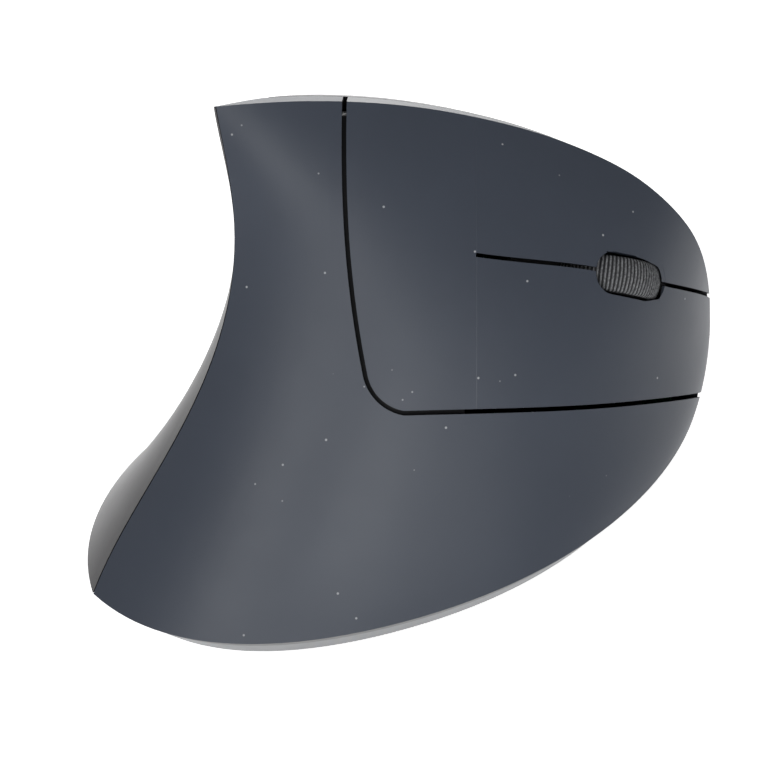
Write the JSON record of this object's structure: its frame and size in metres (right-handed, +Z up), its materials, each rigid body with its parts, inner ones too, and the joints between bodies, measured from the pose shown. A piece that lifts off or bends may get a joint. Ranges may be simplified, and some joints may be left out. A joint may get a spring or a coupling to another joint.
{
  "type": "vertical ergonomic mouse",
  "caption": "Right-handed upright wireless mouse: leaning two-shell grip on a tucked base, finger keys with a scroll wheel between them, thumb keys, battery door and stowed receiver.",
  "frame": {"origin": "middle of the footprint's bounding box, on the desk plane that the glide feet stand on", "axes": "+Y is the front, where the scroll wheel and the nose are; +X is the finger side, to the right of the hand; +Z is up"},
  "size_m": [0.0756, 0.121, 0.0785],
  "materials": {
    "soft_touch": "soft-touch coating over moulded plastic, matt with a fine grain",
    "thumb_skin": "satin moulded plastic",
    "base_plastic": "satin moulded plastic, lighter than the shells",
    "side_key": "satin moulded plastic",
    "door_plastic": "satin moulded plastic",
    "foot": "smooth low-friction sheet",
    "wheel_rubber": "ribbed moulded rubber",
    "hub_plastic": "moulded plastic",
    "frame_plastic": "moulded plastic",
    "board": "green solder mask over glass-fibre board",
    "chip": "moulded chip body",
    "lens": "clear moulded lens",
    "switch_case": "moulded switch case",
    "plunger": "polished moulded plastic",
    "knob": "moulded plastic with fine ridges",
    "cell_sleeve": "printed shrink sleeve, left plain",
    "spring_steel": "nickel-plated spring steel",
    "screw_steel": "zinc-plated steel",
    "receiver_plastic": "moulded plastic"
  },
  "bodies": {
    "housing": {"palm_shell": "soft_touch", "key_plate": "soft_touch", "thumb_shell": "thumb_skin", "base_plate": "base_plastic", "glide_feet": "foot", "shell_screws": "screw_steel", "left_cell": "cell_sleeve", "right_cell": "cell_sleeve", "cell_contacts": "spring_steel", "cell_springs": "spring_steel", "main_board": "board", "main_board_screws": "screw_steel", "controller_chip": "chip", "radio_chip": "chip", "optical_sensor": "chip", "sensor_lens": "lens", "power_switch": "switch_case", "inner_frame": "frame_plastic", "button_board": "board", "button_board_screws": "screw_steel", "left_switch": "switch_case", "right_switch": "switch_case", "middle_switch": "switch_case", "side_board": "board", "side_board_screws": "screw_steel", "forward_switch": "switch_case", "back_switch": "switch_case", "speed_switch": "switch_case"},
    "left_key": {"left_button": "soft_touch"},
    "right_key": {"right_button": "soft_touch"},
    "left_key_plunger": {"left_plunger": "plunger"},
    "right_key_plunger": {"right_plunger": "plunger"},
    "wheel_carrier": {"wheel_cradle": "frame_plastic", "wheel_encoder": "switch_case"},
    "scroll_wheel": {"wheel_axle": "screw_steel", "wheel_hub": "hub_plastic", "wheel_tyre": "wheel_rubber"},
    "middle_key_plunger": {"middle_plunger": "plunger"},
    "forward_key": {"forward_button": "side_key"},
    "forward_key_plunger": {"forward_plunger": "plunger"},
    "back_key": {"back_button": "side_key"},
    "back_key_plunger": {"back_plunger": "plunger"},
    "speed_key": {"speed_button": "side_key"},
    "speed_key_plunger": {"speed_plunger": "plunger"},
    "power_slider": {"power_knob": "knob"},
    "door": {"battery_door": "door_plastic"},
    "receiver": {"receiver_body": "receiver_plastic", "receiver_plug": "spring_steel"}
  },
  "joints": [
    {"name": "left_press", "type": "hinge", "parent": "housing", "child": "left_key", "pos_m": [-0.01207, 0.01899, 0.06133], "axis": [-0.5806, 0.2261, 0.7821], "range_deg": [0, 0.6], "stiffness_Nm_per_rad": 1, "springref_deg": -0.34},
    {"name": "left_plunger_slide", "type": "slide", "parent": "housing", "child": "left_key_plunger", "axis": [-0.7925, -0.4003, -0.4602], "range_m": [0, 0.0006]},
    {"name": "right_press", "type": "hinge", "parent": "housing", "child": "right_key", "pos_m": [0.01046, 0.01145, 0.04336], "axis": [-0.5806, 0.2261, 0.7821], "range_deg": [0, 0.6], "stiffness_Nm_per_rad": 1, "springref_deg": -0.34},
    {"name": "right_plunger_slide", "type": "slide", "parent": "housing", "child": "right_key_plunger", "axis": [-0.7925, -0.4003, -0.4602], "range_m": [0, 0.0006]},
    {"name": "wheel_press", "type": "slide", "parent": "housing", "child": "wheel_carrier", "axis": [-0.7925, -0.4003, -0.4602], "range_m": [0, 0.0006], "stiffness_N_per_m": 900, "springref_m": -0.0003},
    {"name": "wheel_spin", "type": "hinge", "parent": "wheel_carrier", "child": "scroll_wheel", "pos_m": [-0.00423, 0.0379, 0.03759], "axis": [-0.5962, 0.3494, 0.7228], "continuous": true},
    {"name": "middle_plunger_slide", "type": "slide", "parent": "housing", "child": "middle_key_plunger", "axis": [-0.7925, -0.4003, -0.4602], "range_m": [0, 0.0006]},
    {"name": "forward_press", "type": "slide", "parent": "housing", "child": "forward_key", "axis": [0.9763, 0, 0.2164], "range_m": [0, 0.0006], "stiffness_N_per_m": 800, "springref_m": -0.0002},
    {"name": "forward_plunger_slide", "type": "slide", "parent": "housing", "child": "forward_key_plunger", "axis": [0.9763, 0, 0.2164], "range_m": [0, 0.0006]},
    {"name": "back_press", "type": "slide", "parent": "housing", "child": "back_key", "axis": [0.9763, 0, 0.2164], "range_m": [0, 0.0006], "stiffness_N_per_m": 800, "springref_m": -0.0002},
    {"name": "back_plunger_slide", "type": "slide", "parent": "housing", "child": "back_key_plunger", "axis": [0.9763, 0, 0.2164], "range_m": [0, 0.0006]},
    {"name": "speed_press", "type": "slide", "parent": "housing", "child": "speed_key", "axis": [0.9763, 0, 0.2164], "range_m": [0, 0.0006], "stiffness_N_per_m": 800, "springref_m": -0.0002},
    {"name": "speed_plunger_slide", "type": "slide", "parent": "housing", "child": "speed_key_plunger", "axis": [0.9763, 0, 0.2164], "range_m": [0, 0.0006]},
    {"name": "power_slide", "type": "slide", "parent": "housing", "child": "power_slider", "axis": [0, 1, 0], "range_m": [0, 0.0025]},
    {"name": "door_hinge", "type": "hinge", "parent": "housing", "child": "door", "pos_m": [0.00319, 0.01385, 0.0008], "axis": [1, 0, 0], "range_deg": [0, 75]},
    {"name": "receiver_slide", "type": "slide", "parent": "housing", "child": "receiver", "axis": [0, 0, -1], "range_m": [0, 0.018]}
  ],
  "couplings": [
    {"joint": "left_plunger_slide", "follows": "left_press", "m_per_rad": 0.0212},
    {"joint": "right_plunger_slide", "follows": "right_press", "m_per_rad": 0.02547},
    {"joint": "middle_plunger_slide", "follows": "wheel_press", "ratio": 1},
    {"joint": "forward_plunger_slide", "follows": "forward_press", "ratio": 1},
    {"joint": "back_plunger_slide", "follows": "back_press", "ratio": 1},
    {"joint": "speed_plunger_slide", "follows": "speed_press", "ratio": 1}
  ]
}
